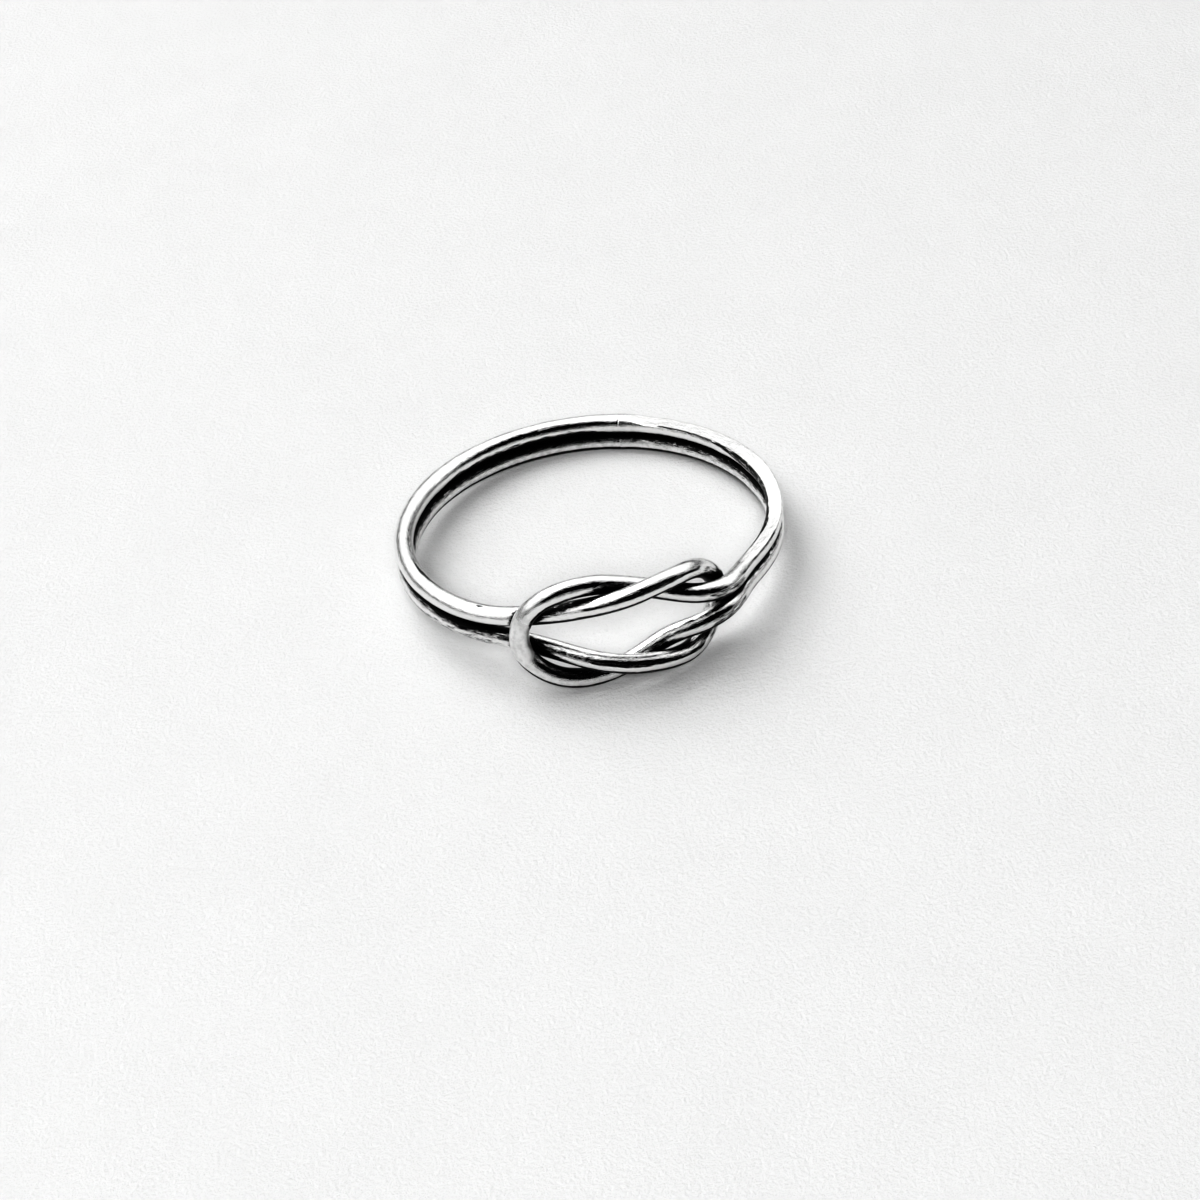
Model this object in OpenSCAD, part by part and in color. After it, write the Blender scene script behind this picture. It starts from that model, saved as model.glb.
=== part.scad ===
// Ring of round silver wire. Two wires lie side by side as the band and cross in a flat square
// knot at the front. They are soldered end to end at the back, so the metal is one closed loop.
// The ring lies on its side, with the knot towards -Y, as it comes to rest by itself.

/* [Band] */
// Inner diameter of the band
inner_d = 17.2; // [16:0.1:20]
// Diameter of the wire
wire_d = 0.95; // [0.8:0.01:0.96]
// Gap between two wires that lie together
wire_gap = 0.04; // [0.02:0.01:0.1]

/* [Knot] */
// Length of the knot along the band, between the wire's centres
knot_length = 10.6; // [10:0.1:11.4]
// Height of the knot across the band, between the wire's centres
knot_height = 5.2; // [5:0.1:6]
// How far the knot lies inside the band's circle
knot_sink = 0.15; // [0:0.05:0.3]

/* [Solder seam] */
// Place of the seam, in degrees from the middle of the back towards the right
seam_turn = 22; // [-40:1:40]
// Length of the seam along the band
seam_length = 3; // [2:0.1:6]
// Thickness of the solder that fills the groove between the wires
seam_d = 0.6; // [0.4:0.05:0.7]

/* [Rest] */
// Tilt of the band on a flat surface, in degrees, where the wide knot holds its front up
rest_tilt = 6.6; // [5:0.1:8]
// Place where the back of the band touches, in degrees from its middle towards the right
rest_turn = 15; // [0:1:30]

/* [Hidden] */

wire_r = wire_d / 2;
band_r = inner_d / 2 + wire_r;
band_loop = 2 * PI * band_r;
// Centre to centre of two wires that lie together
pitch = wire_d + wire_gap;

// Points around the wire, and rings along it between two guide points
wire_sides = 16;
rings_per_guide = 3;

// Guide points of the strand that bends round at the left end of the knot and of the one that bends
// round at the right end, each from the middle of its bend to the band. Along is measured towards
// the bend in halves of the knot's length, up and down are the heights of the upper and lower leg in
// halves of the knot's height, and weave is how far outward the strand passes, in halves of the pitch.
ALONG = 0;
UP = 1;
DOWN = 2;
WEAVE = 3;
left_strand = [
    [ 0.97, 0.00,  0.00,  1.45],
    [ 0.92, 0.48, -0.42,  1.25],
    [ 0.74, 0.86, -0.79,  0.80],
    [ 0.50, 1.01, -0.98,  0.10],
    [ 0.23, 0.94, -0.99, -0.90],
    [-0.08, 0.71, -0.84, -1.45],
    [-0.38, 0.49, -0.50, -1.10],
    [-0.63, 0.34, -0.30,  0.75],
    [-0.91, 0.27, -0.17,  1.45],
    [-1.21, 0.20, -0.18,  0.20]];
right_strand = [
    [ 1.03, 0.02,  0.02, -1.20],
    [ 0.94, 0.41, -0.43, -1.05],
    [ 0.74, 0.73, -0.80, -0.65],
    [ 0.50, 0.89, -0.85,  0.45],
    [ 0.24, 0.92, -0.73,  1.10],
    [-0.05, 0.78, -0.62,  1.25],
    [-0.35, 0.60, -0.54,  0.35],
    [-0.63, 0.40, -0.44, -0.60],
    [-0.92, 0.27, -0.34, -0.90],
    [-1.21, 0.21, -0.22, -0.40]];

// The plain band starts past the knot's ends, and takes this many steps round the back
band_start = 1.49 * knot_length / 2;
band_steps = 16;
// The band runs out from the knot's sink to its own circle between these two distances
sink_end = 6.5;
circle_start = 12;

// Solder beads that run together as the seam
seam_beads = 9;
bead_sides = 12;

function reversed(list) = [for (i = [len(list) - 1:-1:0]) list[i]];
function unit(v) = v / norm(v);
function ease(t) = t * t * (3 - 2 * t);
function share(value, from, to) = min(1, max(0, (value - from) / (to - from)));
// Outward offset of the band at a distance from the middle of the knot
function sink(s) = -knot_sink * (1 - ease(share(s, sink_end, circle_start)));

// Guide points are [distance round the band from the middle of the knot, height, outward offset]
function leg(strand, side, height) = [for (row = strand)
    let (s = side * row[ALONG] * knot_length / 2)
    [s, row[height] * knot_height / 2, sink(abs(s)) + row[WEAVE] * pitch / 2]];
function tail(list) = [for (i = [1:len(list) - 1]) list[i]];
// One strand of the knot, from its lower leg round the bend to its upper leg
function bend(strand, side) = concat(reversed(leg(strand, side, DOWN)), tail(leg(strand, side, UP)));
// One wire of the band, from the right end of the knot round the back to the left end
function band(height) = [for (k = [0:band_steps])
    let (s = band_start + (band_loop - 2 * band_start) * k / band_steps)
    [s, height, sink(min(s, band_loop - s))]];

guides = concat(
    bend(left_strand, -1),
    band(pitch / 2),
    [for (g = reversed(bend(right_strand, 1))) g + [band_loop, 0, 0]],
    reversed(band(-pitch / 2)));

// Point of a closed cubic B-spline, a share t past guide point i
function guide(i) = guides[(i + len(guides)) % len(guides)];
function spline(i, t) = (
    pow(1 - t, 3) * guide(i - 1)
    + (3 * pow(t, 3) - 6 * pow(t, 2) + 4) * guide(i)
    + (-3 * pow(t, 3) + 3 * pow(t, 2) + 3 * t + 1) * guide(i + 1)
    + pow(t, 3) * guide(i + 2)) / 6;
// Place in space of a guide's distance, height and offset, with the band's axis upright
function place(g) = let (turn = g[0] / band_r * 180 / PI, r = band_r + g[2])
    [r * sin(turn), -r * cos(turn), g[1]];

path = [for (i = [0:len(guides) - 1], k = [0:rings_per_guide - 1]) place(spline(i, k / rings_per_guide))];
path_count = len(path);

// Ring of points round the wire at one point of the path
function section(i) = let (
    along = unit(path[(i + 1) % path_count] - path[(i + path_count - 1) % path_count]),
    outward = unit([path[i][0], path[i][1], 0]),
    a = unit(outward - (outward * along) * along),
    b = cross(along, a))
    [for (j = [0:wire_sides - 1]) let (turn = 360 * j / wire_sides)
        path[i] + wire_r * (cos(turn) * a + sin(turn) * b)];

function corner(i, j) = (i % path_count) * wire_sides + j % wire_sides;

// Resting pose: the band tilts until its back touches opposite the knot's lowest bend
rest_axis = [-cos(rest_turn), sin(rest_turn), 0];
function turned(p) = p * cos(rest_tilt) + cross(rest_axis, p) * sin(rest_tilt)
    + rest_axis * (rest_axis * p) * (1 - cos(rest_tilt));
rest_path = [for (p = path) turned(p)];
function lowest(k) = min([for (p = rest_path) p[k]]) - wire_r;
function highest(k) = max([for (p = rest_path) p[k]]) + wire_r;
rest_shift = -[(lowest(0) + highest(0)) / 2, (lowest(1) + highest(1)) / 2, lowest(2)];

// The whole wire loop, swept as triangles
module wire() {
    polyhedron(
        points = [for (i = [0:path_count - 1]) each section(i)],
        faces = [for (i = [0:path_count - 1], j = [0:wire_sides - 1]) each [
            [corner(i, j), corner(i + 1, j), corner(i, j + 1)],
            [corner(i, j + 1), corner(i + 1, j), corner(i + 1, j + 1)]]]);
}

// Solder in the groove where the ends of both wires meet
module seam() {
    middle = (180 - seam_turn) / 360 * band_loop;
    function bead_at(k) = place([middle + seam_length * (k / (seam_beads - 1) - 0.5), 0, 0]);
    for (k = [0:seam_beads - 2])
        hull() {
            translate(bead_at(k)) sphere(d = seam_d, $fn = bead_sides);
            translate(bead_at(k + 1)) sphere(d = seam_d, $fn = bead_sides);
        }
}

module ring() {
    color("silver")
        translate(rest_shift)
            rotate(a = rest_tilt, v = rest_axis) {
                wire();
                seam();
            }
}

ring();
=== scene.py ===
"""Finger ring of round silver wire, tied in an open square knot, lying on a pale studio floor.

The ring is two lengths of round wire. Each bends round at one end of the knot and sends both of its
legs through the other's loop and round the finger, where the ends meet in one solder seam at the
back. Places on the ring are given as the maker would measure them: the distance round the band from
the middle of the knot, the height above the band's middle plane, and the offset outward from the
band's own circle, all in millimetres. The ring is then tilted to lie as it rests by itself.
"""

import logging
import math
from dataclasses import dataclass, field, replace
from enum import Enum
from typing import NamedTuple

import bmesh
import bpy
from mathutils import Matrix, Vector, noise
from mathutils.kdtree import KDTree


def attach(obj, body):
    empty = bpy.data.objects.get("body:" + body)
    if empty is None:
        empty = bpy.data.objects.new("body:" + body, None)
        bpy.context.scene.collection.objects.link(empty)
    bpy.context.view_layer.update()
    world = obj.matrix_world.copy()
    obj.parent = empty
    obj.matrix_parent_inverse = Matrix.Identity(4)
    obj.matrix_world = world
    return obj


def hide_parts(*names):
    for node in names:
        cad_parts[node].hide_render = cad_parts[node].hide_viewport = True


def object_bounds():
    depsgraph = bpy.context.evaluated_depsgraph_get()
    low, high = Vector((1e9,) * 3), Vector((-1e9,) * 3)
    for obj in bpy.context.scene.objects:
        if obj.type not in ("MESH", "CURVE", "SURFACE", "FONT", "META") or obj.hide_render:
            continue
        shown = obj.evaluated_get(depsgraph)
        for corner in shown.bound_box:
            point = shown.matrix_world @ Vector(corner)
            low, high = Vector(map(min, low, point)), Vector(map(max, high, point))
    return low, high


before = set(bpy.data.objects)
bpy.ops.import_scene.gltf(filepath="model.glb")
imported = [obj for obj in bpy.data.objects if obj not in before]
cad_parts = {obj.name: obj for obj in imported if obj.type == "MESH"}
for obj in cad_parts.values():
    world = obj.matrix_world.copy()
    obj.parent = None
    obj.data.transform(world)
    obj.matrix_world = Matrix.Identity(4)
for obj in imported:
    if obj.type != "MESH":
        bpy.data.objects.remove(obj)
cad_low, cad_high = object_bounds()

MM = 0.001
WOBBLE_SEED = 7
REST_STEPS = 3
Socket = bpy.types.NodeSocket
log = logging.getLogger("knot_ring")


class KnotEnd(Enum):
    """End of the knot at which a strand bends round, as the sign of its distance along the band."""

    LEFT = -1
    RIGHT = 1


class Wire(Enum):
    """Which of the two wires side by side round the band, as the sign of its height."""

    UPPER = 1
    LOWER = -1


class Guide(NamedTuple):
    """One row of a strand's route, from the middle of its bend towards the band.

    along is measured towards the bend in halves of the knot's length, up and down are the heights of
    the upper and the lower leg in halves of the knot's height, and weave is how far outward the
    strand passes, in halves of the pitch of two wires that lie together.
    """

    along: float
    up: float
    down: float
    weave: float


LEFT_STRAND = (
    Guide(0.97, 0.00, 0.00, 1.45),
    Guide(0.92, 0.48, -0.42, 1.25),
    Guide(0.74, 0.86, -0.79, 0.80),
    Guide(0.50, 1.01, -0.98, 0.10),
    Guide(0.23, 0.94, -0.99, -0.90),
    Guide(-0.08, 0.71, -0.84, -1.45),
    Guide(-0.38, 0.49, -0.50, -1.10),
    Guide(-0.63, 0.34, -0.30, 0.75),
    Guide(-0.91, 0.27, -0.17, 1.45),
    Guide(-1.21, 0.20, -0.18, 0.20),
)
RIGHT_STRAND = (
    Guide(1.03, 0.02, 0.02, -1.20),
    Guide(0.94, 0.41, -0.43, -1.05),
    Guide(0.74, 0.73, -0.80, -0.65),
    Guide(0.50, 0.89, -0.85, 0.45),
    Guide(0.24, 0.92, -0.73, 1.10),
    Guide(-0.05, 0.78, -0.62, 1.25),
    Guide(-0.35, 0.60, -0.54, 0.35),
    Guide(-0.63, 0.40, -0.44, -0.60),
    Guide(-0.92, 0.27, -0.34, -0.90),
    Guide(-1.21, 0.21, -0.22, -0.40),
)


def clamp(value: float, low: float = 0.0, high: float = 1.0) -> float:
    """Keeps a value between two limits."""
    return min(high, max(low, value))


def ease(value: float, start: float, end: float) -> float:
    """Smooth step from 0 at start to 1 at end, which may lie below start."""
    share = clamp((value - start) / (end - start))
    return share * share * (3 - 2 * share)


class Edge(NamedTuple):
    """Soft edge, with the value at which something begins and the one at which it is whole."""

    begin: float
    whole: float

    def share(self, value: float) -> float:
        """Share of the thing at a value."""
        return ease(value, self.begin, self.whole)

    def moved(self, way: float) -> "Edge":
        """The same edge, moved up by way."""
        return Edge(self.begin + way, self.whole + way)


class Stretch(NamedTuple):
    """Stretch of the band, in millimetres.

    start and end are distances from the middle of the knot, round its right side, or less than 0 on
    its left. run is the length over which the stretch fades out past each of them.
    """

    start: float
    end: float
    run: float

    def share(self, distance: float, band_loop: float) -> float:
        """Share of what is on the stretch, at a distance on a band that is band_loop long."""
        past, whole = (distance - self.start + self.run) % band_loop, self.end - self.start + self.run
        return ease(past, 0, self.run) * ease(past, whole + self.run, whole)


@dataclass(frozen=True)
class RingRoute:
    """Route of the whole wire loop, in the ring's own upright frame and as the ring rests.

    Attributes:
        inner_d: Inner diameter of the band.
        wire_d: Diameter of the wire.
        wire_gap: Gap between two wires that lie together.
        knot_length: Length of the knot along the band, between the wire's centres.
        knot_height: Height of the knot across the band, between the wire's centres.
        knot_sink: How far the knot lies inside the band's circle.
        sink_edge: Distances from the knot's middle at which the band is on its own circle and at
            which the whole sink holds.
        plain_start: Distance at which the plain band starts, in halves of the knot's length.
        band_steps: Steps of the plain band round the back.
        seam_turn: Place of the solder seam, in degrees from the middle of the back to the right.
        seam_overlap: How far each wire runs past the middle of the seam, in guide points.
        rest_tilt: Tilt of the band as it rests, in degrees.
        rest_turn: Where the back touches the floor, in degrees from its middle to the right.
    """

    inner_d: float = 17.2
    wire_d: float = 0.95
    wire_gap: float = 0.04
    knot_length: float = 10.6
    knot_height: float = 5.2
    knot_sink: float = 0.15
    sink_edge: Edge = Edge(12.0, 6.5)
    plain_start: float = 1.49
    band_steps: int = 16
    seam_turn: float = 22.0
    seam_overlap: float = 0.031
    rest_tilt: float = 6.6
    rest_turn: float = 15.0

    @property
    def wire_r(self) -> float:
        """Radius of the wire."""
        return self.wire_d / 2

    @property
    def band_r(self) -> float:
        """Radius of the band's circle, at the wires' centres."""
        return self.inner_d / 2 + self.wire_r

    @property
    def band_loop(self) -> float:
        """Length once round the band."""
        return 2 * math.pi * self.band_r

    @property
    def pitch(self) -> float:
        """Distance between the centres of two wires that lie together."""
        return self.wire_d + self.wire_gap

    @property
    def band_start(self) -> float:
        """Distance of the plain band's first guide point from the middle of the knot."""
        return self.plain_start * self.knot_length / 2

    @property
    def band_step(self) -> float:
        """Distance between two guide points of the plain band."""
        return (self.band_loop - 2 * self.band_start) / self.band_steps

    @property
    def seam_at(self) -> float:
        """Distance of the solder seam from the middle of the knot, round the right side."""
        return (180 - self.seam_turn) / 360 * self.band_loop

    def sink(self, distance: float) -> float:
        """Outward offset of the band at a distance from the middle of the knot."""
        return -self.knot_sink * self.sink_edge.share(distance)

    def bend(self, rows: tuple[Guide, ...], end: KnotEnd) -> list[Vector]:
        """Guide points of one strand in the knot.

        Args:
            rows: Table of the strand.
            end: End of the knot at which it bends round.

        Returns:
            The points from its lower leg round the bend to its upper leg.
        """
        upper, lower = [], []
        for row in rows:
            distance = end.value * row.along * self.knot_length / 2
            offset = self.sink(abs(distance)) + row.weave * self.pitch / 2
            upper.append(Vector((distance, row.up * self.knot_height / 2, offset)))
            lower.append(Vector((distance, row.down * self.knot_height / 2, offset)))
        return lower[::-1] + upper[1:]

    def band(self, wire: Wire) -> list[Vector]:
        """Guide points of one wire of the plain band.

        Args:
            wire: The wire.

        Returns:
            The points from the right of the knot round the back.
        """
        points = []
        for count in range(self.band_steps + 1):
            distance = self.band_start + self.band_step * count
            near = min(distance, self.band_loop - distance)
            points.append(Vector((distance, wire.value * self.pitch / 2, self.sink(near))))
        return points

    def guides(self) -> list[Vector]:
        """Guide points of the closed loop.

        Returns:
            The points of the left strand, the upper wire, the right strand and the lower wire.
        """
        once_round = Vector((self.band_loop, 0, 0))
        right = [point + once_round for point in self.bend(RIGHT_STRAND, KnotEnd.RIGHT)]
        return (
            self.bend(LEFT_STRAND, KnotEnd.LEFT)
            + self.band(Wire.UPPER)
            + right[::-1]
            + self.band(Wire.LOWER)[::-1]
        )

    def seam_shares(self) -> tuple[float, float]:
        """Places of the seam on the closed loop.

        Returns:
            Its places on the upper and the lower wire, in guide points.
        """
        steps = (self.seam_at - self.band_start) / self.band_step
        bend_count = 2 * len(LEFT_STRAND) - 1
        upper = bend_count + steps
        lower = 2 * bend_count + (self.band_steps + 1) + self.band_steps - steps
        return upper, lower

    def upright(self, place: Vector) -> Vector:
        """Turns a place on the band (distance, height, offset) into the ring's upright frame."""
        turn, radius = place[0] / self.band_r, self.band_r + place[2]
        return Vector((radius * math.sin(turn), -radius * math.cos(turn), place[1]))

    def rest_matrix(self, points: list[Vector]) -> Matrix:
        """Pose of the resting ring, in metres, with the bottom centre of its box at the frame's.

        Args:
            points: Points all along the loop, in the ring's upright frame.

        Returns:
            The matrix from the upright frame in millimetres to the part's frame in metres.
        """
        turn = math.radians(self.rest_turn)
        axis = Vector((-math.cos(turn), math.sin(turn), 0))
        tilt = Matrix.Rotation(math.radians(self.rest_tilt), 4, axis)
        tilted = [tilt @ point for point in points]
        low = [min(point[k] for point in tilted) - self.wire_r for k in range(3)]
        high = [max(point[k] for point in tilted) + self.wire_r for k in range(3)]
        shift = -Vector(((low[0] + high[0]) / 2, (low[1] + high[1]) / 2, low[2]))
        foot = Vector(((cad_low[0] + cad_high[0]) / 2, (cad_low[1] + cad_high[1]) / 2, cad_low[2]))
        return Matrix.Translation(foot) @ Matrix.Scale(MM, 4) @ Matrix.Translation(shift) @ tilt


class Spline:
    """Closed cubic B-spline through the neighbourhood of guide points."""

    def __init__(self, guides: list[Vector]) -> None:
        """Keeps the guide points of the closed loop."""
        self.guides = guides

    def guide(self, index: int) -> Vector:
        """Guide point of any index, before or after the first lap too."""
        return self.guides[index % len(self.guides)]

    def point(self, share: float) -> Vector:
        """Point of the spline.

        Args:
            share: Place on the loop, where a whole number is a guide point's.

        Returns:
            The point, in the guide points' own terms.
        """
        index = math.floor(share)
        t = share - index
        weights = (
            (1 - t) ** 3 / 6,
            (3 * t**3 - 6 * t**2 + 4) / 6,
            (-3 * t**3 + 3 * t**2 + 3 * t + 1) / 6,
            t**3 / 6,
        )
        near = (self.guide(index + step) for step in (-1, 0, 1, 2))
        return sum((weight * guide for weight, guide in zip(weights, near)), Vector((0, 0, 0)))


@dataclass(frozen=True)
class Station:
    """One place along a strand.

    Attributes:
        place: Distance, height and offset on the band.
        centre: Centre of the wire in the ring's upright frame.
        outward: Unit vector across the wire, away from the finger.
        across: Unit vector across the wire, square to outward.
        length: Length along the wire from its start.
    """

    place: Vector
    centre: Vector
    outward: Vector
    across: Vector
    length: float

    @property
    def wire(self) -> Wire:
        """Which of the two wires side by side the place is on."""
        return Wire.LOWER if self.place[1] < 0 else Wire.UPPER


class Nodes:
    """Short way to add and link shader nodes in one tree."""

    def __init__(self, tree: bpy.types.NodeTree) -> None:
        """Clears the tree and keeps it."""
        self.tree = tree
        tree.nodes.clear()

    def add(self, kind: str, inputs: dict | None = None, **settings: object) -> bpy.types.Node:
        """Adds a node.

        Args:
            kind: Type name of the node.
            inputs: Sockets by name or number, each with a value or with a socket to link from.
            settings: Properties of the node.

        Returns:
            The new node.
        """
        node = self.tree.nodes.new(kind)
        for name, value in settings.items():
            setattr(node, name, value)
        for name, value in (inputs or {}).items():
            if isinstance(value, Socket):
                self.tree.links.new(value, node.inputs[name])
            else:
                node.inputs[name].default_value = value
        return node

    def calc(self, operation: str, *values: Socket | float) -> Socket:
        """Result of an operation on some values."""
        return self.add("ShaderNodeMath", dict(enumerate(values)), operation=operation).outputs["Value"]

    def cloud(
        self, place: Socket, scale: float, detail: float, roughness: float = 0.5
    ) -> Socket:
        """Cloudy noise round 0.5, with a number of lumps in one unit of the place and of finer layers."""
        inputs = {"Vector": place, "Scale": scale, "Detail": detail, "Roughness": roughness}
        return self.add("ShaderNodeTexNoise", inputs).outputs["Fac"]

    def drawn(self, place: Socket, scale: tuple[float, float, float]) -> Socket:
        """Place with its three parts scaled, so that a noise read there is drawn out."""
        return self.add("ShaderNodeMapping", {"Vector": place, "Scale": scale}).outputs["Vector"]

    def mix(
        self, share: Socket, first: object, second: object, data_type: str = "RGBA"
    ) -> Socket:
        """Mixture with a share of the second of two colours, or of two numbers with the type FLOAT."""
        inputs = {"Factor": share, "A": first, "B": second}
        return self.add("ShaderNodeMix", inputs, data_type=data_type).outputs["Result"]

    def ramp(self, source: Socket, stops: list[tuple[float, float]]) -> Socket:
        """Maps a value through grey stops.

        Args:
            source: Socket with the value.
            stops: Pairs of position and grey level.

        Returns:
            The ramp's colour socket.
        """
        node = self.add("ShaderNodeValToRGB", {"Fac": source})
        for element, (position, level) in zip(node.color_ramp.elements, stops):
            element.position = position
            element.color = (level, level, level, 1)
        return node.outputs["Color"]


@dataclass(frozen=True)
class SilverFinish:
    """Polished silver wire: fine lengthwise scratches, faint tarnish and dark oxide in the grooves,
    with painted shade and painted dark reflections in the oxide's colour.

    Attributes:
        metal: Colour of the polished metal.
        tarnish: Colour of the faint film on it.
        oxide: Colour of the oxide deep in the grooves, and of the painted shade and painted dark
            reflections.
        rubbed_oxide: Colour of its thin, rubbed streaks.
        polish: Roughness of the polished metal.
        satin: Roughness of the worn, satin stretches.
        crust: Roughness of the oxide and of the painted shade.
    """

    metal: tuple[float, float, float] = (0.84, 0.84, 0.835)
    tarnish: tuple[float, float, float] = (0.60, 0.60, 0.595)
    oxide: tuple[float, float, float] = (0.006, 0.006, 0.006)
    rubbed_oxide: tuple[float, float, float] = (0.09, 0.09, 0.088)
    polish: float = 0.05
    satin: float = 0.32
    crust: float = 0.55

    def material(self, name: str) -> bpy.types.Material:
        """Builds the material.

        Args:
            name: Name of the material.

        Returns:
            The node material, which reads its piece's attributes for oxide and painted shade, for satin
            and for grain.
        """
        material = bpy.data.materials.new(name)
        material.use_nodes = True
        nodes = Nodes(material.node_tree)
        place = nodes.add("ShaderNodeTexCoord").outputs["Object"]
        grain = nodes.add("ShaderNodeAttribute", attribute_name="grain").outputs["Vector"]
        groove = nodes.add("ShaderNodeAttribute", attribute_name="groove").outputs["Fac"]
        satin = nodes.add("ShaderNodeAttribute", attribute_name="satin").outputs["Fac"]
        lines = nodes.cloud(nodes.drawn(grain, (0.55, 9.0, 9.0)), scale=3.0, detail=6.0)

        film = nodes.cloud(place, scale=420.0, detail=5.0, roughness=0.6)
        film_share = nodes.ramp(film, [(0.52, 0.0), (0.80, 0.25)])
        line_share = nodes.ramp(lines, [(0.60, 0.0), (0.72, 0.45)])
        speckle = nodes.cloud(place, scale=3600.0, detail=3.0)
        speckle_share = nodes.ramp(speckle, [(0.42, 0.0), (0.68, 0.9)])
        streaked = nodes.calc("MAXIMUM", film_share, line_share)
        marks = nodes.calc("MAXIMUM", streaked, nodes.calc("MULTIPLY", speckle_share, satin))

        # Oxide together with painted shade and painted dark reflections, from the piece's attribute, made
        # ragged by blotches and threads
        patchy = nodes.cloud(nodes.drawn(grain, (1.3, 2.6, 2.6)), scale=1.6, detail=5.0, roughness=0.65)
        blotches = nodes.ramp(patchy, [(0.25, 0.0), (0.75, 0.36)])
        threads = nodes.ramp(lines, [(0.38, 0.0), (0.66, 0.24)])
        ragged = nodes.calc("ADD", nodes.calc("ADD", blotches, threads), groove)
        oxide_and_shade_share = nodes.ramp(ragged, [(0.74, 0.0), (0.80, 1.0)])
        thin = nodes.ramp(groove, [(0.62, 0.8), (0.70, 0.0)])
        rubbed = nodes.calc("MULTIPLY", nodes.ramp(lines, [(0.50, 0.0), (0.68, 1.0)]), thin)

        clean = nodes.mix(marks, (*self.metal, 1), (*self.tarnish, 1))
        crusted = nodes.mix(rubbed, (*self.oxide, 1), (*self.rubbed_oxide, 1))
        colour = nodes.mix(oxide_and_shade_share, clean, crusted)

        gloss = nodes.add(
            "ShaderNodeMapRange",
            {"Value": nodes.cloud(grain, scale=1.1, detail=3.0), "From Min": 0.3, "From Max": 0.7,
             "To Min": self.polish * 0.55, "To Max": self.polish * 1.6},
        )
        brushed = nodes.mix(satin, gloss.outputs["Result"], self.satin, "FLOAT")
        rough = nodes.mix(oxide_and_shade_share, brushed, self.crust, "FLOAT")
        scratch = nodes.add("ShaderNodeBump", {"Height": lines, "Strength": 0.35, "Distance": 0.00002})
        planished = nodes.add(
            "ShaderNodeBump",
            {"Height": nodes.cloud(grain, scale=2.4, detail=2.0), "Strength": 0.5, "Distance": 0.00003,
             "Normal": scratch.outputs["Normal"]},
        )
        shader = nodes.add(
            "ShaderNodeBsdfPrincipled",
            {"Base Color": colour, "Metallic": 1.0, "Roughness": rough,
             "Normal": planished.outputs["Normal"]},
        )
        nodes.add("ShaderNodeOutputMaterial", {"Surface": shader.outputs["BSDF"]})
        return material


def as_object(bm: bmesh.types.BMesh, name: str, material: bpy.types.Material) -> bpy.types.Object:
    """Turns a finished bmesh into a smooth object of the scene.

    Args:
        bm: Bmesh in the part's frame, in metres, which is freed.
        name: Name of the piece.
        material: Material of all its faces.

    Returns:
        The object, at the origin.
    """
    for face in bm.faces:
        face.smooth = True
    mesh = bpy.data.meshes.new(name)
    bm.to_mesh(mesh)
    bm.free()
    piece = bpy.data.objects.new(name, mesh)
    mesh.materials.append(material)
    bpy.context.scene.collection.objects.link(piece)
    return piece


@dataclass(frozen=True)
class FiledFlat:
    """Flat filed along the upper wire, on the stretch of the band from the knot's right to the seam.

    Attributes:
        first_edge: Distances from the knot's middle at which it begins and has its full depth.
        last_edge: Distances at which it has run out and still has its full depth.
        height: Height of its face over the wire's centre, in radii of the wire.
        softness: Softness of its long edges, in radii of the wire.
    """

    first_edge: Edge = Edge(5.0, 12.5)
    last_edge: Edge = Edge(25.0, 23.6)
    height: float = 0.48
    softness: float = 0.05

    def cut(self, offset: Vector, radius: float, distance: float) -> Vector:
        """Files a surface point down to the flat.

        Args:
            offset: The point from the wire's centre, in the ring's upright frame.
            radius: Radius of the wire.
            distance: Distance of the point from the knot's middle.

        Returns:
            The point on the flat's face, or as it was where the flat doesn't reach.
        """
        depth = self.first_edge.share(distance) * self.last_edge.share(distance)
        if depth == 0:
            return offset
        limit = radius * (1 - (1 - self.height) * depth)
        softness = radius * self.softness
        over = clamp(offset[2] - limit + softness, 0, 2 * softness)
        lowered = min(offset[2], limit + softness) - over * over / (4 * softness)
        return Vector((offset[0], offset[1], lowered))


class Facing(NamedTuple):
    """How a face of a wire is turned, as two parts of its unit normal.

    up is 1 on top of the wire and -1 at its underside. out is 1 away from the finger and -1 towards
    it.
    """

    up: float
    out: float


NO_EDGE = Edge(-2.0, -1.5)
IN_KNOT = Stretch(-4.4, 4.4, 1.8)


@dataclass(frozen=True)
class Patch:
    """Part of a wire's surface that has a finish of its own.

    Attributes:
        strength: Strength of the finish, from 0 to 1. Oxide and painted shade show from about 0.45 up.
        stretch: Stretch of the band that it covers.
        wires: Wires that it is on.
        ends: Ends of the knot whose strands it is on.
        bottom: Its lower edge on the wire, in parts up.
        top: Its upper edge on the wire, in parts up.
        side: Its edge towards the finger or away from it, in parts out.
    """

    strength: float
    stretch: Stretch
    wires: tuple[Wire, ...] = tuple(Wire)
    ends: tuple[KnotEnd, ...] = tuple(KnotEnd)
    bottom: Edge = NO_EDGE
    top: Edge = NO_EDGE
    side: Edge = NO_EDGE

    def on_face(self, face: Facing) -> float:
        """Strength of the finish on a face, on the stretch that the patch covers."""
        height = self.bottom.share(face.up) * self.top.share(face.up)
        return self.strength * height * self.side.share(face.out)
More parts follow.
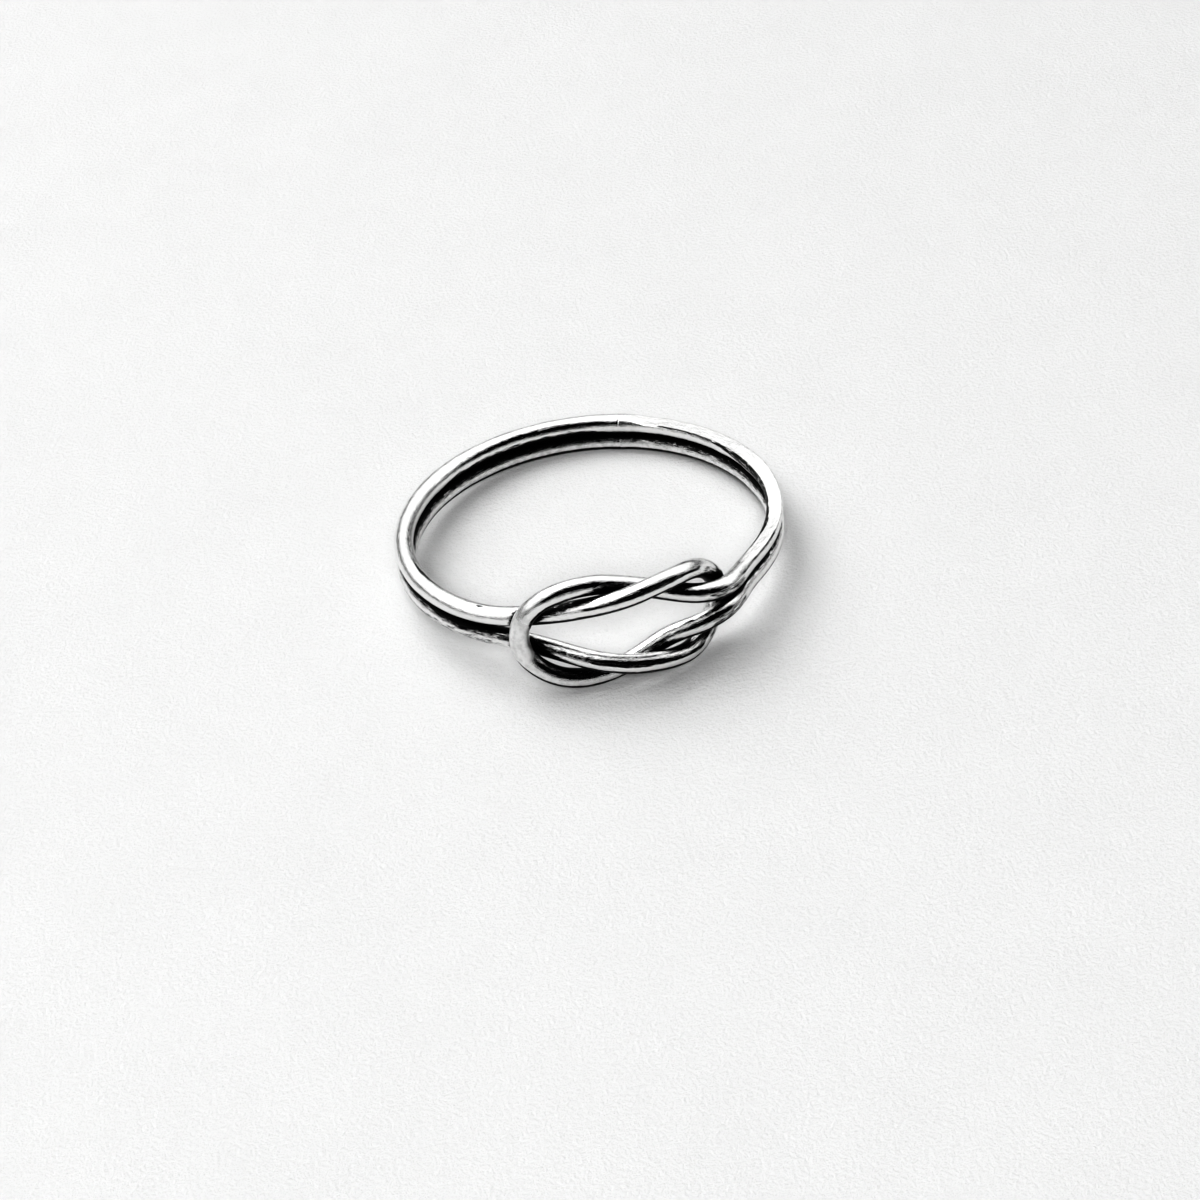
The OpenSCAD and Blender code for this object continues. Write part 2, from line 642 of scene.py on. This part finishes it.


# Dark patches, partly oxide and partly painted shade and painted dark reflections: painted shade on
# the undersides in the knot and painted dark reflections on its faces towards the finger, dark
# blotches beside it, painted dark reflections on the right strand's top in the knot and on the upper
# wire right of it, painted contact shade under the lower wire at the back, painted shade on its rim
# at the right and dark streaks on it at the left
OXIDE_AND_SHADE_PATCHES = (
    Patch(0.75, IN_KNOT, top=Edge(-0.15, -0.40)),
    Patch(0.56, IN_KNOT, side=Edge(-0.55, -0.85)),
    Patch(0.50, Stretch(4.0, 5.6, 0.8), top=Edge(0.60, 0.30), side=Edge(0.0, 0.3)),
    Patch(0.64, Stretch(-1.6, 3.2, 1.0), ends=(KnotEnd.RIGHT,),
          bottom=Edge(0.08, 0.22), top=Edge(0.60, 0.48), side=Edge(0.3, 0.5)),
    Patch(0.54, Stretch(6.0, 9.5, 1.0), wires=(Wire.UPPER,),
          bottom=Edge(0.38, 0.50), top=Edge(0.80, 0.68), side=Edge(0.3, 0.5)),
    Patch(0.75, Stretch(17.0, 39.0, 3.0), wires=(Wire.LOWER,), top=Edge(-0.12, -0.34)),
    Patch(0.60, Stretch(6.0, 13.0, 1.5), wires=(Wire.LOWER,), top=Edge(0.00, -0.25), side=Edge(0.1, 0.3)),
    Patch(0.47, Stretch(44.0, 50.4, 1.4), wires=(Wire.LOWER,), top=Edge(0.30, 0.00), side=Edge(0.1, 0.3)),
)

# Satin stretches that wear has rubbed: right of the knot, round the back of the lower wire, at the
# left bend and on the lower leg that leads to it
SATIN_PATCHES = (
    Patch(0.35, Stretch(6.0, 12.5, 1.5)),
    Patch(1.0, Stretch(17.0, 43.0, 3.0), wires=(Wire.LOWER,)),
    Patch(0.9, Stretch(-6.0, -4.9, 1.0), ends=(KnotEnd.LEFT,)),
    Patch(0.8, Stretch(-6.2, -2.0, 1.2), wires=(Wire.LOWER,), ends=(KnotEnd.LEFT,)),
)


# Dark streak painted below the filed flat, on the side towards the finger: a painted dark reflection
# under the flat's edge. On a wide stretch its lower edge dips and it loses strength, and on a tall one
# beside the knot its upper edge rises
STREAK = Patch(0.66, Stretch(5.8, 22.4, 1.5), wires=(Wire.UPPER,),
               bottom=Edge(0.26, 0.42), top=Edge(0.62, 0.52), side=Edge(-0.4, -0.6))
STREAK_WIDE = Stretch(12.6, 16.5, 3.2)
STREAK_DIP = 0.66
STREAK_LOSS = 0.07
STREAK_TALL = Stretch(0.0, 10.0, 2.5)
STREAK_RISE = 0.25


def streak_at(distance: float, band_loop: float) -> Patch:
    """Painted dark streak below the flat as it is at a distance on a band that is band_loop long."""
    wide, tall = (stretch.share(distance, band_loop) for stretch in (STREAK_WIDE, STREAK_TALL))
    return replace(
        STREAK,
        strength=STREAK.strength - STREAK_LOSS * wide,
        bottom=STREAK.bottom.moved(-STREAK_DIP * wide),
        top=STREAK.top.moved(STREAK_RISE * tall),
    )


class Reach(NamedTuple):
    """How far the oxide and the painted shade reach out of a groove, on a stretch of one wire.

    all_round is what the stretch adds to the width of the gap that they fill, in millimetres,
    and inward what it adds on the side towards the finger besides.
    """

    wire: Wire
    stretch: Stretch
    all_round: float
    inward: float = 0.0


# Widths on the rest of each wire, all round and inward. The lower wire's groove side faces up, and its
# wider reach paints the dark reflection on its top, where the upper wire hides the bright tent
PLAIN_REACH = {Wire.UPPER: (0.17, 0.05), Wire.LOWER: (0.32, 0.10)}
REACHES = (
    Reach(Wire.UPPER, Stretch(-6.5, 6.5, 2.5), 0.17),
    Reach(Wire.UPPER, Stretch(6.5, 13.0, 1.5), -0.03),
    Reach(Wire.UPPER, Stretch(27.0, 35.0, 2.5), 0.0, 0.34),
    Reach(Wire.UPPER, Stretch(51.5, 54.0, 0.7), 0.14),
    Reach(Wire.LOWER, Stretch(6.5, 13.0, 1.5), -0.06),
    Reach(Wire.LOWER, Stretch(49.0, 53.0, 3.0), 0.18),
)


class Nick(NamedTuple):
    """Short dark mark that a tool left on the upper wire.

    distance and run are the place of its middle and half of its length along the band, in
    millimetres. turn is its angle from the wire's outward side over the top, and spread is half of
    its width, in degrees.
    """

    distance: float
    run: float
    turn: float
    spread: float

    def share(self, distance: float, turn: float) -> float:
        """Share of the mark at a distance along the band and an angle round the wire."""
        away = math.hypot((distance - self.distance) / self.run, (turn - self.turn) / self.spread)
        return NICK_EDGE.share(away)


NICK_STRENGTH = 0.7
NICK_EDGE = Edge(1.3, 0.6)
NICKS = (
    Nick(45.2, 1.80, 110, 12),
    Nick(49.6, 0.25, 80, 11),
)

# Satin finish of the joint over the length from a wire's end, and below a wire's bright top
JOINT_SATIN = 0.55
JOINT_EDGE = Edge(1.6, 0.5)
BRIGHT_TOP = Edge(0.62, 0.42)
# Stretch on which the upper wire's oxide and painted shade end softly, and how much sharper they end
# elsewhere
SOFT_OXIDE_AND_SHADE = Stretch(-9.0, 9.0, 3.0)
CRISPNESS = 1.4
# How far other wires are looked for and how far beside the wire they lie, in its diameters
SEARCH = 2.2
LEAST_APART = 0.7


@dataclass
class Strand:
    """One of the two wires, from the seam through the knot and back to the seam.

    Attributes:
        name: Name of the piece.
        first: Place on the closed loop where the wire starts, in guide points.
        last: Place on the closed loop where it ends.
        route: The ring's route.
        end: End of the knot at which the strand bends round.
        station_count: Rings of faces along the wire.
        side_count: Faces round the wire.
        fine_steps: Steps of the route for each ring.
        wobble: How far the hand-bent wire strays from its route.
        wobble_size: Length over which it strays one way.
        dent_depth: Depth of the shallow planishing dents.
        dents: Sizes of these dents, each with its part of the depth.
        slim: Share of its thickness that the left strand has lost on the right of the band.
        slim_stretch: Stretch on which it is slim.
        tip: Length over which each end of the wire rounds off inside the seam.
        tip_rings: Rings of faces in each rounded end.
        swell: How far the solder on the joint stands over the wire.
        swell_edge: Lengths from the wire's end between which the solder builds up.
        flat: The flat on the upper wire at the back right.
        stations: Places along the wire.
    """

    name: str
    first: float
    last: float
    route: RingRoute
    end: KnotEnd
    station_count: int = 640
    side_count: int = 36
    fine_steps: int = 12
    wobble: float = 0.015
    wobble_size: float = 2.6
    dent_depth: float = 0.012
    dents: tuple[tuple[float, float], ...] = ((1.1, 0.7), (0.4, 0.2))
    slim: float = 0.13
    slim_stretch: Stretch = Stretch(7.5, 13.5, 3.0)
    tip: float = 0.08
    tip_rings: int = 4
    swell: float = 0.010
    swell_edge: Edge = Edge(0.9, 0.1)
    flat: FiledFlat = FiledFlat()
    stations: list[Station] = field(default_factory=list)

    def covered(self, stretch: Stretch, station: Station) -> float:
        """Share of what is on a stretch of the band at a place along the wire."""
        return stretch.share(station.place[0], self.route.band_loop)

    def from_end(self, station: Station) -> float:
        """Length along the wire from its nearer end."""
        return min(station.length, self.stations[-1].length - station.length)

    def ring_length(self, count: int, total: float) -> float:
        """Length along the wire of a ring of points: evenly spaced, but closer in the rounded ends.

        Args:
            count: Number of the ring.
            total: Length of the whole wire.

        Returns:
            The length from the wire's start.
        """
        from_end = min(count, self.station_count - count)
        if from_end >= self.tip_rings:
            even = (count - self.tip_rings) / (self.station_count - 2 * self.tip_rings)
            return self.tip + (total - 2 * self.tip) * even
        length = self.tip * (1 - math.cos(math.pi / 2 * from_end / self.tip_rings))
        return length if count == from_end else total - length

    def lay(self, spline: Spline) -> None:
        """Works out the stations along the wire.

        Args:
            spline: The closed loop's spline.
        """
        fine = self.fine_steps * self.station_count
        shares = [self.first + (self.last - self.first) * k / fine for k in range(fine + 1)]
        places = [spline.point(share) for share in shares]
        points = [self.strayed(place) for place in places]
        lengths = [0.0]
        for before, after in zip(points, points[1:]):
            lengths.append(lengths[-1] + (after - before).length)
        index = 0
        for count in range(self.station_count + 1):
            wanted = self.ring_length(count, lengths[-1])
            while index < fine - 1 and lengths[index + 1] < wanted:
                index += 1
            t = clamp((wanted - lengths[index]) / (lengths[index + 1] - lengths[index]))
            centre = points[index].lerp(points[index + 1], t)
            along = (points[min(index + 2, fine)] - points[max(index - 1, 0)]).normalized()
            radial = Vector((centre[0], centre[1], 0)).normalized()
            outward = (radial - radial.dot(along) * along).normalized()
            place = places[index].lerp(places[index + 1], t)
            self.stations.append(Station(place, centre, outward, along.cross(outward), wanted))

    def strayed(self, place: Vector) -> Vector:
        """Point of the hand-bent wire's centre for a place on the band."""
        point = self.route.upright(place)
        return point + self.wobble * noise.noise_vector(point / self.wobble_size)

    def surface(self, station: Station, turn: float) -> Vector:
        """Point of the wire's surface in the ring's upright frame.

        Args:
            station: Place along the wire.
            turn: Angle round the wire, from its outward side.

        Returns:
            The point, with the filed flat, the slim stretch, the dents and the round ends.
        """
        radius = self.route.wire_r
        if self.end is KnotEnd.LEFT:
            radius *= 1 - self.slim * self.covered(self.slim_stretch, station)
        rim = self.from_end(station)
        radius += self.swell * self.swell_edge.share(rim)
        offset = radius * (math.cos(turn) * station.outward + math.sin(turn) * station.across)
        if self.end is KnotEnd.LEFT and station.wire is Wire.UPPER:
            offset = self.flat.cut(offset, radius, station.place[0])
        point = station.centre + offset
        dent = sum(part * noise.noise(point / size) for size, part in self.dents)
        offset += offset.normalized() * self.dent_depth * dent
        share = clamp(rim / self.tip)
        return station.centre + offset * math.sqrt(1 - (1 - share) ** 2)

    def build(self, others: KDTree, rest: Matrix, material: bpy.types.Material) -> bpy.types.Object:
        """Builds the wire's mesh from a grid that is wrapped round its route.

        Args:
            others: Centre points of all wires in the upright frame.
            rest: Pose of the resting ring.
            material: Material of the wire.

        Returns:
            The finished piece.
        """
        bm = bmesh.new()
        bmesh.ops.create_grid(bm, x_segments=self.station_count, y_segments=self.side_count, size=0.5)
        grain = bm.verts.layers.float_vector.new("grain")
        groove = bm.verts.layers.float.new("groove")
        satin = bm.verts.layers.float.new("satin")
        near = [self.neighbours(station, others) for station in self.stations]
        for vert in bm.verts:
            count = round((vert.co.x + 0.5) * self.station_count)
            turn = 2 * math.pi * (vert.co.y + 0.5)
            station = self.stations[count]
            point = self.surface(station, turn)
            vert[grain] = Vector((station.length, math.cos(turn), math.sin(turn)))
            vert[groove] = self.closeness(point, station, near[count])
            vert[satin] = self.worn(station) * BRIGHT_TOP.share(math.sin(turn) * station.across[2])
            vert.co = rest @ point
        bmesh.ops.remove_doubles(bm, verts=bm.verts, dist=0.0005 * MM)
        bmesh.ops.recalc_face_normals(bm, faces=bm.faces)
        piece = as_object(bm, self.name, material)
        smooth = piece.modifiers.new("smooth_wire", "SUBSURF")
        smooth.levels = smooth.render_levels = 1
        return piece

    def neighbours(self, station: Station, others: KDTree) -> list[Vector]:
        """Other stretches of wire that pass near a place along this one.

        Args:
            station: The place.
            others: Centre points of all wires in the upright frame.

        Returns:
            The centre points of the others that are near.
        """
        along = station.across.cross(station.outward)
        found = []
        for point, _, _ in others.find_range(station.centre, SEARCH * self.route.wire_d):
            apart = point - station.centre
            if (apart - apart.dot(along) * along).length > LEAST_APART * self.route.wire_d:
                found.append(point)
        return found

    def closeness(self, point: Vector, station: Station, near: list[Vector]) -> float:
        """How deep in a groove a surface point lies, which sets its share of oxide and painted shade.

        Args:
            point: The surface point in the upright frame.
            station: Its place along the wire.
            near: Centre points of the other wires close by.

        Returns:
            1 where wires touch, 0.5 where the oxide and painted shade end and 0 in the open.
        """
        if not near:
            return self.oxide_and_shade_at(point, station)
        gap = min((point - other).length for other in near) - self.route.wire_r
        inward = clamp((station.centre - point).dot(station.outward) / self.route.wire_r)
        crisp = 1.0
        if station.wire is Wire.UPPER:
            crisp += CRISPNESS * (1 - self.covered(SOFT_OXIDE_AND_SHADE, station))
        closed = clamp(0.5 + crisp * (0.5 - gap / (2 * self.oxide_and_shade_reach(station, inward))))
        return max(closed, self.oxide_and_shade_at(point, station))

    def patched(self, patches: tuple[Patch, ...], station: Station, face: Facing) -> float:
        """Strength of the strongest of some patches on a face, at a place along the wire."""
        here = [patch for patch in patches if station.wire in patch.wires and self.end in patch.ends]
        return max(self.covered(patch.stretch, station) * patch.on_face(face) for patch in here)

    def oxide_and_shade_at(self, point: Vector, station: Station) -> float:
        """Strength of the dark patches at a surface point, partly oxide and partly painted shade and
        painted dark reflections, and of the nicks.

        Args:
            point: The surface point in the upright frame.
            station: Its place along the wire.

        Returns:
            0 on the open faces, and up to 0.75 on the patches of oxide and painted shade and in the
            nicks.
        """
        side = (point - station.centre).normalized()
        face = Facing(side[2], side.dot(station.outward))
        distance = station.place[0] % self.route.band_loop
        streak = streak_at(distance, self.route.band_loop)
        share = self.patched((*OXIDE_AND_SHADE_PATCHES, streak), station, face)
        if station.wire is Wire.LOWER:
            return share
        turn = math.degrees(math.atan2(face.up, face.out))
        return max(share, NICK_STRENGTH * max(nick.share(distance, turn) for nick in NICKS))

    def oxide_and_shade_reach(self, station: Station, inward: float) -> float:
        """Gap to the next wire up to which the oxide and the painted shade reach.

        Args:
            station: Place along the wire.
            inward: How far the surface faces the finger, from 0 to 1.

        Returns:
            The width of the gap.
        """
        all_round, towards_finger = PLAIN_REACH[station.wire]
        width = all_round + towards_finger * inward
        for reach in REACHES:
            if reach.wire is station.wire:
                width += (reach.all_round + reach.inward * inward) * self.covered(reach.stretch, station)
        return width

    def worn(self, station: Station) -> float:
        """How satin the wire is at a place along it, at the joint or where wear has rubbed it."""
        at_joint = JOINT_SATIN * JOINT_EDGE.share(self.from_end(station))
        return max(at_joint, self.patched(SATIN_PATCHES, station, Facing(0.0, 0.0)))


@dataclass
class SolderSeam:
    """Solder that fills the groove between the wires at their joints, with hollow faces as it flows.

    Attributes:
        route: The ring's route.
        length: Length of the solder along the groove.
        height: Height of the solder, which ends inside both wires.
        waist: Thickness at the middle of its height, from inside to outside.
        flare: What it gains in thickness where it creeps up the wires.
        lumps: Height of the small lumps on it.
        lump_count: How many of them lie along half of its length.
        oxide: Strength of the oxide in its middle.
        end_loss: What that loses towards its ends.
    """

    route: RingRoute
    length: float = 3.0
    height: float = 0.66
    waist: float = 0.42
    flare: float = 0.26
    lumps: float = 0.02
    lump_count: float = 3.0
    oxide: float = 0.8
    end_loss: float = 0.2

    def build(self, rest: Matrix, material: bpy.types.Material) -> bpy.types.Object:
        """Builds the solder from a sphere that is drawn out along the groove and waisted.

        Args:
            rest: Pose of the resting ring.
            material: Material of the solder.

        Returns:
            The finished piece.
        """
        bm = bmesh.new()
        bmesh.ops.create_uvsphere(bm, u_segments=64, v_segments=32, radius=1.0)
        grain = bm.verts.layers.float_vector.new("grain")
        groove = bm.verts.layers.float.new("groove")
        bm.verts.layers.float.new("satin")
        for vert in bm.verts:
            along, up, out = vert.co
            lump = self.lumps * noise.noise(vert.co * self.lump_count)
            thickness = self.waist + self.flare * up * up + lump
            place = Vector((
                self.route.seam_at + along * self.length / 2,
                up * self.height / 2,
                out * thickness / 2,
            ))
            vert[grain] = Vector((place[0], up, out))
            vert[groove] = self.oxide - self.end_loss * along * along
            vert.co = rest @ self.route.upright(place)
        bmesh.ops.recalc_face_normals(bm, faces=bm.faces)
        return as_object(bm, "solder_seam", material)


@dataclass(frozen=True)
class FloorFinish:
    """Pale, matt, very slightly mottled sheet with a fine paper grain.

    Attributes:
        pale: Main colour.
        shade: Colour of the faint mottling.
        matt: Roughness.
    """

    pale: tuple[float, float, float] = (0.62, 0.62, 0.62)
    shade: tuple[float, float, float] = (0.59, 0.59, 0.59)
    matt: float = 0.7

    def material(self, name: str) -> bpy.types.Material:
        """Builds the material.

        Args:
            name: Name of the material.

        Returns:
            The node material.
        """
        material = bpy.data.materials.new(name)
        material.use_nodes = True
        nodes = Nodes(material.node_tree)
        place = nodes.add("ShaderNodeTexCoord").outputs["Object"]
        mottle = nodes.cloud(place, scale=160.0, detail=6.0)
        colour = nodes.mix(mottle, (*self.pale, 1), (*self.shade, 1))
        fine = nodes.cloud(place, scale=5000.0, detail=4.0, roughness=0.6)
        bump = nodes.add("ShaderNodeBump", {"Height": fine, "Strength": 0.6, "Distance": 0.00014})
        shader = nodes.add(
            "ShaderNodeBsdfPrincipled",
            {"Base Color": colour, "Roughness": self.matt, "Specular IOR Level": 0.2,
             "Normal": bump.outputs["Normal"]},
        )
        nodes.add("ShaderNodeOutputMaterial", {"Surface": shader.outputs["BSDF"]})
        return material


@dataclass(frozen=True)
class Softbox:
    """Rectangular soft light that faces the ring.

    Attributes:
        name: Name of the light.
        azimuth: Direction in degrees, from the back of the ring towards its right.
        elevation: Height above the floor, in degrees.
        distance: Distance from the ring, in millimetres.
        width: Width in millimetres.
        height: Height in millimetres.
        power: Power in watts.
        mirrored: Whether the polished metal shows it.
    """

    name: str
    azimuth: float
    elevation: float
    distance: float
    width: float
    height: float
    power: float
    mirrored: bool = True

    def hang(self) -> None:
        """Adds the light to the scene."""
        lamp = bpy.data.lights.new(self.name, "AREA")
        lamp.shape = "RECTANGLE"
        lamp.size = self.width * MM
        lamp.size_y = self.height * MM
        lamp.energy = self.power
        light = bpy.data.objects.new(self.name, lamp)
        towards = heading(self.azimuth, self.elevation)
        light.location = towards * self.distance * MM
        light.rotation_euler = towards.to_track_quat("Z", "Y").to_euler()
        light.visible_camera = False
        light.visible_glossy = self.mirrored
        bpy.context.scene.collection.objects.link(light)


def heading(azimuth: float, rise: float) -> Vector:
    """Unit vector in a direction, in degrees from the back towards the right and above the floor."""
    turn, up = math.radians(azimuth), math.radians(rise)
    return Vector((math.cos(up) * math.sin(turn), math.cos(up) * math.cos(turn), math.sin(up)))


@dataclass(frozen=True)
class LightTent:
    """White cloth all round the ring, with a round opening towards the camera and a dark foot.

    The silver mirrors it, but it sheds no light on the floor.

    Attributes:
        cloth: Brightness of the cloth at its foot.
        roof: What the cloth gains in brightness from there to the top.
        gloom: Brightness of the opening and of the foot.
        opening_azimuth: Direction of the opening's middle, as a softbox's.
        opening_rise: Height of the opening's middle above the floor, in degrees.
        opening_half: Half of the opening's width, in degrees.
        foot: Height above the floor at which the cloth starts, in degrees.
        edge: Softness of the cloth's edges, in degrees.
    """

    cloth: float = 0.80
    roof: float = 0.75
    gloom: float = 0.003
    opening_azimuth: float = 165.0
    opening_rise: float = 17.0
    opening_half: float = 62.0
    foot: float = 13.0
    edge: float = 4.0

    def pitch(self) -> bpy.types.World:
        """Builds the tent.

        Returns:
            The world that surrounds the scene.
        """
        world = bpy.data.worlds.new("light_tent")
        world.use_nodes = True
        nodes = Nodes(world.node_tree)
        look = nodes.add("ShaderNodeTexCoord").outputs["Generated"]
        towards = nodes.add(
            "ShaderNodeVectorMath",
            {0: look, 1: heading(self.opening_azimuth, self.opening_rise)},
            operation="DOT_PRODUCT",
        )
        half = self.edge / 2
        closed = nodes.add(
            "ShaderNodeMapRange",
            {"Value": towards.outputs["Value"],
             "From Min": math.cos(math.radians(self.opening_half + half)),
             "From Max": math.cos(math.radians(self.opening_half - half)),
             "To Min": 1.0, "To Max": 0.0},
        )
        height = nodes.add("ShaderNodeSeparateXYZ", {"Vector": look}).outputs["Z"]
        risen = nodes.add(
            "ShaderNodeMapRange",
            {"Value": height,
             "From Min": math.sin(math.radians(self.foot - half)),
             "From Max": math.sin(math.radians(self.foot + half))},
        )
        bright = nodes.calc("MULTIPLY_ADD", height, self.roof, self.cloth)
        drape = nodes.calc("MULTIPLY", bright, risen.outputs["Result"])
        glow = nodes.calc("MULTIPLY_ADD", drape, closed.outputs["Result"], self.gloom)
        shade = nodes.add("ShaderNodeBackground", {"Strength": glow})
        nodes.add("ShaderNodeOutputWorld", {"Surface": shade.outputs["Background"]})
        world.cycles_visibility.diffuse = False
        return world


@dataclass
class Studio:
    """Floor, light tent, softboxes and the camera.

    Attributes:
        floor_size: Side of the floor, in millimetres.
        azimuth: Camera's direction in degrees, from the knot's side towards the right.
        elevation: Camera's height above the floor, in degrees.
        roll: Turn of the picture, in degrees, where the right side goes down.
        distance: From the camera to the plane through the band's centre, in millimetres.
        aside: How far right of the picture's middle the band's centre lies, in millimetres.
        above: How far above the picture's middle it lies, in millimetres.
        focal_px: Focal length in pixels of the picture.
        picture_px: Width of the picture in pixels.
        sensor: Width of the camera's sensor, in millimetres.
        clip: Nearest and furthest distance that the camera sees, in millimetres.
        tent: Light tent that the silver mirrors.
        softboxes: A key softbox at the left back, which the silver mirrors too, a broad one beside it
            for the soft shadows on the floor, and a small one beside the camera, whose shadows lie
            hidden behind the wires.
    """

    floor_size: float = 1400.0
    azimuth: float = -7.58
    elevation: float = 40.62
    roll: float = 8.05
    distance: float = 146.33
    aside: float = -0.49
    above: float = 3.47
    focal_px: float = 3000.0
    picture_px: float = 1200.0
    sensor: float = 36.0
    clip: tuple[float, float] = (10.0, 5000.0)
    tent: LightTent = LightTent()
    softboxes: tuple[Softbox, ...] = (
        Softbox("key_softbox", -45, 60, 600, 400, 400, 1.3),
        Softbox("back_softbox", -42, 58, 600, 760, 760, 2.8, mirrored=False),
        Softbox("fill_softbox", 187, 42, 700, 200, 200, 2.65, mirrored=False),
    )

    def lay_floor(self, finish: FloorFinish) -> None:
        """Adds the floor as part of the stage.

        Args:
            finish: Finish of the floor.
        """
        bm = bmesh.new()
        bmesh.ops.create_grid(bm, x_segments=8, y_segments=8, size=self.floor_size * MM / 2)
        bmesh.ops.translate(bm, verts=bm.verts, vec=(0, 0, cad_low[2]))
        as_object(bm, "floor", finish.material("pale_sheet"))

    def light(self) -> None:
        """Adds the softboxes and the light tent, and sets how hard the picture is."""
        for softbox in self.softboxes:
            softbox.hang()
        scene = bpy.context.scene
        scene.world = self.tent.pitch()
        scene.view_settings.view_transform = "Standard"
        scene.view_settings.look = "High Contrast"

    def aim_camera(self, centre: Vector) -> None:
        """Adds the camera at the photograph's angle.

        Args:
            centre: Centre of the band in the part's frame, in metres.
        """
        turn, rise, roll = (math.radians(a) for a in (self.azimuth, self.elevation, self.roll))
        back = Vector((math.cos(rise) * math.sin(turn), -math.cos(rise) * math.cos(turn), math.sin(rise)))
        level = Vector((0, 0, 1)).cross(back).normalized()
        right = Matrix.Rotation(-roll, 3, back) @ level
        up = back.cross(right)
        eye = centre + (back * self.distance - right * self.aside - up * self.above) * MM
        lens = bpy.data.cameras.new("camera")
        lens.sensor_width = self.sensor
        lens.lens = self.focal_px / self.picture_px * self.sensor
        lens.clip_start, lens.clip_end = (distance * MM for distance in self.clip)
        camera = bpy.data.objects.new("camera", lens)
        camera.matrix_world = Matrix.Translation(eye) @ Matrix((right, up, back)).transposed().to_4x4()
        bpy.context.scene.collection.objects.link(camera)
        bpy.context.scene.camera = camera


def main() -> None:
    """Builds the ring and its stage, and reports each piece."""
    logging.basicConfig(level=logging.INFO, format="%(message)s")
    noise.seed_set(WOBBLE_SEED)
    route = RingRoute()
    spline = Spline(route.guides())
    count = len(spline.guides)
    upper_seam, lower_seam = route.seam_shares()
    overlap = route.seam_overlap
    strands = [
        Strand("left_strand", lower_seam - count - overlap, upper_seam + overlap, route, KnotEnd.LEFT),
        Strand("right_strand", upper_seam - overlap, lower_seam + overlap, route, KnotEnd.RIGHT),
    ]
    for strand in strands:
        strand.lay(spline)
    centres = [station.centre for strand in strands for station in strand.stations]
    others = KDTree(len(centres))
    for index, centre in enumerate(centres):
        others.insert(centre, index)
    others.balance()
    places = [spline.point(step / REST_STEPS) for step in range(REST_STEPS * count)]
    rest = route.rest_matrix([route.upright(place) for place in places])

    studio = Studio()
    studio.lay_floor(FloorFinish())
    studio.light()
    studio.aim_camera(rest @ Vector((0, 0, 0)))

    silver = SilverFinish().material("polished_silver")
    pieces = [strand.build(others, rest, silver) for strand in strands]
    pieces.append(SolderSeam(route).build(rest, silver))
    for piece in pieces:
        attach(piece, "root")
        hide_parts("ring")
        log.info("%s: %d faces", piece.name, len(piece.data.polygons))


if __name__ == "__main__":
    main()
